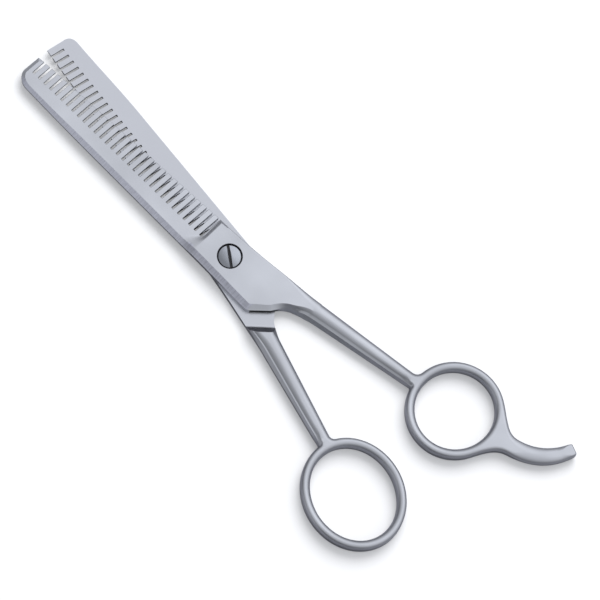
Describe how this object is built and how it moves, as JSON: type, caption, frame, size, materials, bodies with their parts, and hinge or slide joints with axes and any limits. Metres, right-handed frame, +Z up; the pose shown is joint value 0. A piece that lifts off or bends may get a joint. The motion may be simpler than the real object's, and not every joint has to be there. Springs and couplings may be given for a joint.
{
  "type": "thinning shears",
  "caption": "Double-toothed thinning shears: two forged steel halves on a slotted pivot screw, with finger rings and a curved finger rest.",
  "frame": {"origin": "on the pivot axis, in the plane of the lower pivot block's flat underside", "axes": "+Y towards the blade tips, +Z up through the screw head, +X towards the round ring and its finger rest"},
  "size_m": [0.0698, 0.1815, 0.0051],
  "materials": {
    "satin_steel": "satin, fine brushed grain",
    "screw_steel": "turned and lightly polished"
  },
  "bodies": {
    "lower": {"lower_half": "satin_steel"},
    "upper": {"upper_half": "satin_steel"},
    "screw": {"pivot_screw": "screw_steel"}
  },
  "joints": [
    {"name": "blade_pivot", "type": "hinge", "parent": "lower", "child": "upper", "pos_m": [0, 0, 0], "axis": [0, 0, 1], "range_deg": [-7, 114]},
    {"name": "screw_turn", "type": "hinge", "parent": "lower", "child": "screw", "pos_m": [0, 0, 0], "axis": [0, 0, 1], "range_deg": [-90, 90]}
  ]
}
